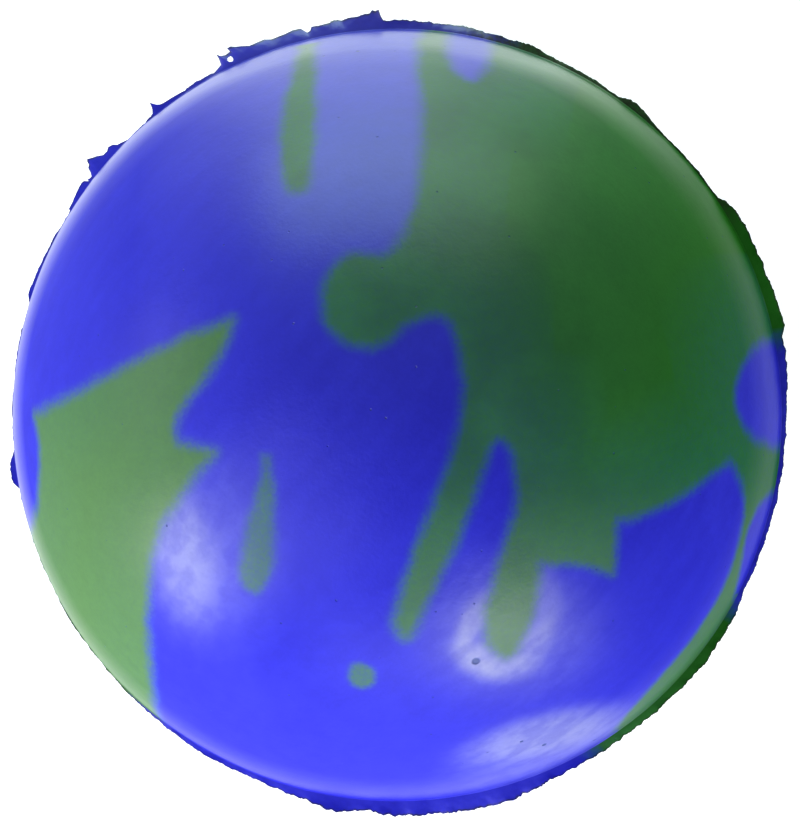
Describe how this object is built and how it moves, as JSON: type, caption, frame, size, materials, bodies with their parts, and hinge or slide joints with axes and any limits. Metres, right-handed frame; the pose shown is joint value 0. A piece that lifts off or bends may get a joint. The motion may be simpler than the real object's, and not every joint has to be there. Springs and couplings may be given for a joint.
{
  "type": "stress ball",
  "caption": "Soft foam ball with a stylised green and blue globe pattern and a torn moulding fin on its parting line, squeezed flat by hand and springing back.",
  "frame": {"origin": "centre of the ball", "axes": "XY is the parting plane of the two mould halves; +Z is the axis of the mould, out of the front pole; +X is the pattern's north"},
  "size_m": [0.0639, 0.0661, 0.063],
  "materials": {
    "foam": "soft open-cell polyurethane foam, matt",
    "foam_skin": "dense self-skinned polyurethane foam, matt",
    "ocean_blue": "satin in-mould paint on foam",
    "land_green": "satin in-mould paint on foam, soft oversprayed edges",
    "fin_blue": "thin torn moulding flash, satin",
    "fin_green": "thin torn moulding flash, satin"
  },
  "bodies": {
    "ball_middle": {"foam_core": "foam", "parting_fin_blue": "fin_blue", "parting_fin_green": "fin_green"},
    "front_half": {"front_blue_coat": "ocean_blue", "front_skin": "foam_skin", "front_mainland": "land_green", "front_left_land": "land_green", "front_long_island": "land_green", "front_teardrop_island": "land_green", "front_dot_island": "land_green"},
    "rear_half": {"rear_blue_coat": "ocean_blue", "rear_skin": "foam_skin", "rear_twin_land": "land_green", "rear_top_land": "land_green", "rear_bottom_land": "land_green", "rear_cape_island": "land_green", "rear_polar_island": "land_green", "rear_dot_island": "land_green"}
  },
  "joints": [
    {"name": "squeeze_front", "type": "slide", "parent": "ball_middle", "child": "front_half", "axis": [0, 0, -1], "range_m": [0, 0.012], "stiffness_N_per_m": 1500, "deforming": ["front_blue_coat", "front_skin", "front_mainland", "front_left_land", "front_long_island", "front_teardrop_island", "front_dot_island", "foam_core"]},
    {"name": "squeeze_rear", "type": "slide", "parent": "ball_middle", "child": "rear_half", "axis": [0, 0, 1], "range_m": [0, 0.012], "stiffness_N_per_m": 1500, "deforming": ["rear_blue_coat", "rear_skin", "rear_twin_land", "rear_top_land", "rear_bottom_land", "rear_cape_island", "rear_polar_island", "rear_dot_island"]}
  ],
  "couplings": [
    {"joint": "squeeze_rear", "follows": "squeeze_front", "ratio": 1}
  ]
}
